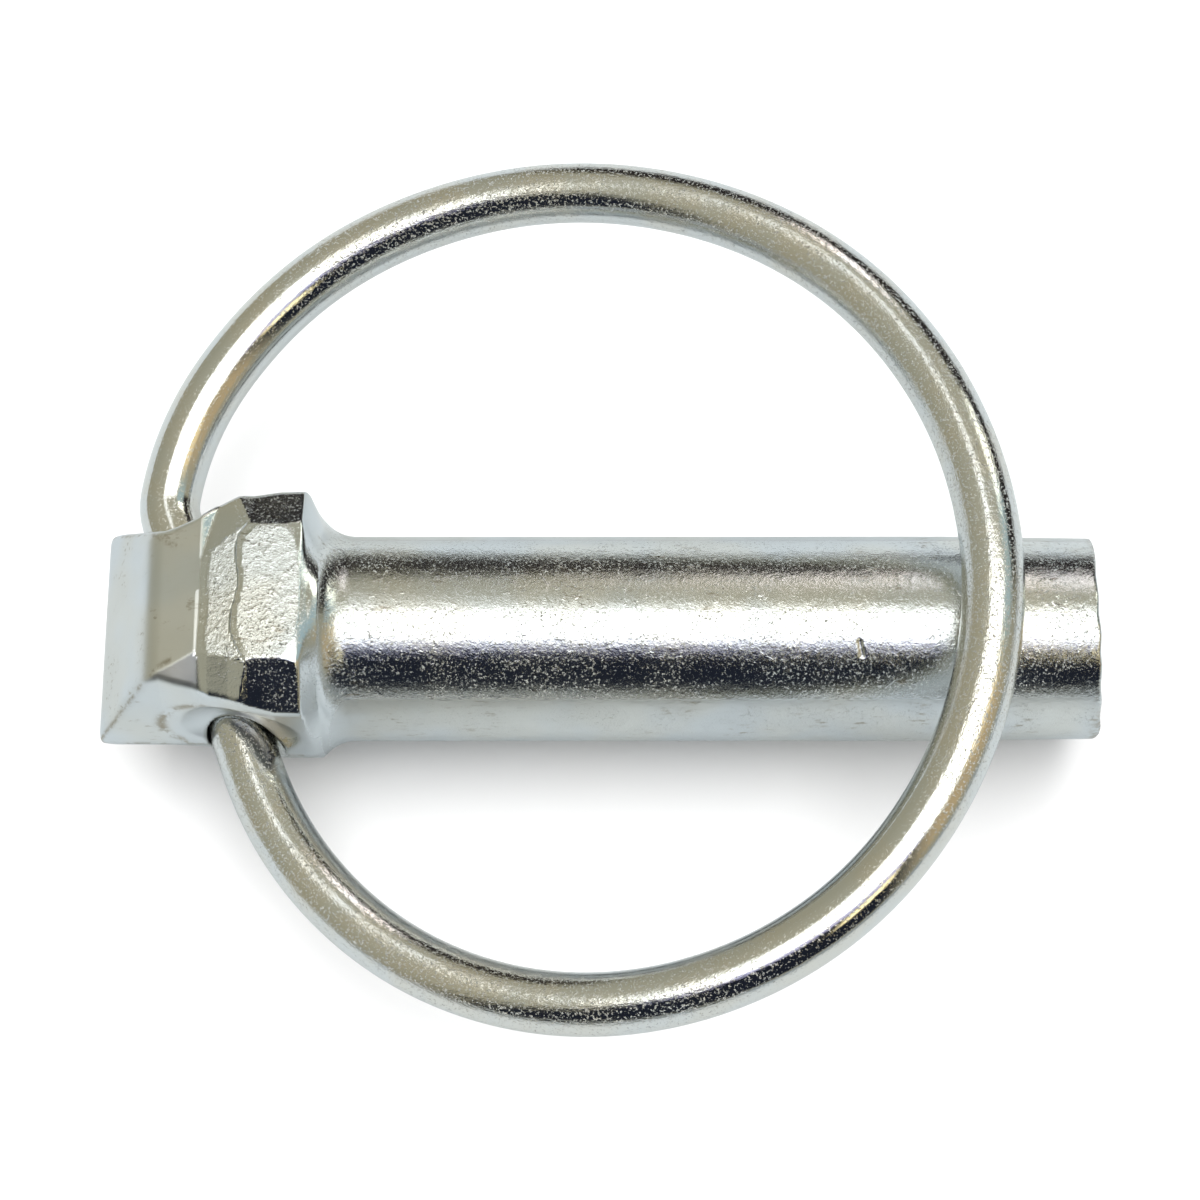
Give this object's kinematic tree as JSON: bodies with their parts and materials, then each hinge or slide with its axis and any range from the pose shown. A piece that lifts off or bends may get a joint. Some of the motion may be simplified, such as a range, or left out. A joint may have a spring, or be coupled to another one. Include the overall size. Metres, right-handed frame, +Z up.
{
  "type": "linch pin",
  "caption": "Linch pin: a straight shank with a forged, drafted head, and a sprung wire ring hinged through the head that folds over the shank's end.",
  "frame": {"origin": "on the shank's axis, where the straight shank begins at the end of the fillet under the head", "axes": "+X along the shank towards its tip, +Y across the pin, +Z up as the pin lies with its ring over the shank"},
  "size_m": [0.0538, 0.0485, 0.0159],
  "materials": {
    "zinc_steel": "bright zinc plate over forged steel, finely speckled",
    "zinc_wire": "bright zinc plate over smooth spring wire"
  },
  "bodies": {
    "pin": {"pin_body": "zinc_steel"},
    "ring": {"ring": "zinc_wire"}
  },
  "joints": [
    {"name": "ring_hinge", "type": "hinge", "parent": "pin", "child": "ring", "pos_m": [-0.00799, 0, 0], "axis": [0.3338, -0.9426, 0], "range_deg": [0, 338.5]}
  ]
}
